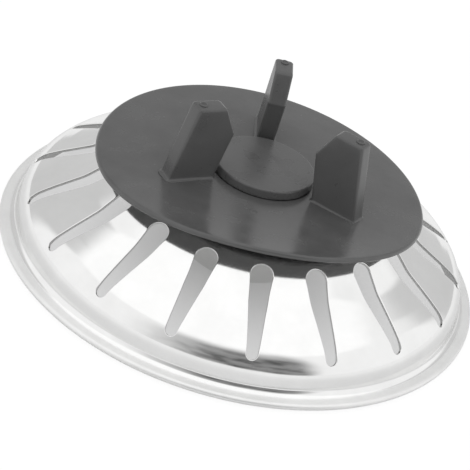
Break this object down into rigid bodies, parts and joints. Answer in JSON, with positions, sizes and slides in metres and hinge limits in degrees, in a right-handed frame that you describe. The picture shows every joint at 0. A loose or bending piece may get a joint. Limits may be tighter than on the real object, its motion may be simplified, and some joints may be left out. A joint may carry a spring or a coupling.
{
  "type": "sink basket strainer plug",
  "caption": "Kitchen sink basket strainer plug: slotted steel bowl with a curled rim, sealing disc, lifting knob and sprung fingers that grip the waste's centre stud.",
  "frame": {"origin": "centre of the rim's plane, on the surface that the upturned plug lies on", "axes": "+Z along the plug's axis, from the rim towards the sealing disc and fingers; slots stand 20 degrees apart from +X"},
  "size_m": [0.08, 0.0798, 0.0299],
  "materials": {
    "basket_steel": "polished stainless sheet",
    "disc_rubber": "smooth grey, slight sheen",
    "boss_plastic": "smooth grey moulding",
    "insert_brass": "turned",
    "finger_plastic": "smooth grey moulding",
    "stem_steel": "turned",
    "gasket_rubber": "matt black",
    "washer_steel": "plain",
    "core_plastic": "matt black moulding",
    "cap_steel": "polished stainless sheet"
  },
  "bodies": {
    "plug": {"strainer_basket": "basket_steel", "seal_disc": "disc_rubber", "centre_boss": "boss_plastic", "threaded_insert": "insert_brass", "knob_stem": "stem_steel", "stem_gasket": "gasket_rubber", "load_washer": "washer_steel", "knob_core": "core_plastic", "knob_cap": "cap_steel"},
    "rear_grip": {"finger_rear": "finger_plastic"},
    "left_grip": {"finger_left": "finger_plastic"},
    "right_grip": {"finger_right": "finger_plastic"}
  },
  "joints": [
    {"name": "rear_flex", "type": "hinge", "parent": "plug", "child": "rear_grip", "pos_m": [-0.00166, 0.01395, 0.0172], "axis": [-0.993, -0.1184, 0], "range_deg": [0, 4], "stiffness_Nm_per_rad": 0.6},
    {"name": "left_flex", "type": "hinge", "parent": "plug", "child": "left_grip", "pos_m": [-0.01125, -0.00842, 0.0172], "axis": [0.599, -0.8007, 0], "range_deg": [0, 4], "stiffness_Nm_per_rad": 0.6},
    {"name": "right_flex", "type": "hinge", "parent": "plug", "child": "right_grip", "pos_m": [0.01291, -0.00553, 0.0172], "axis": [0.3939, 0.9191, 0], "range_deg": [0, 4], "stiffness_Nm_per_rad": 0.6}
  ]
}
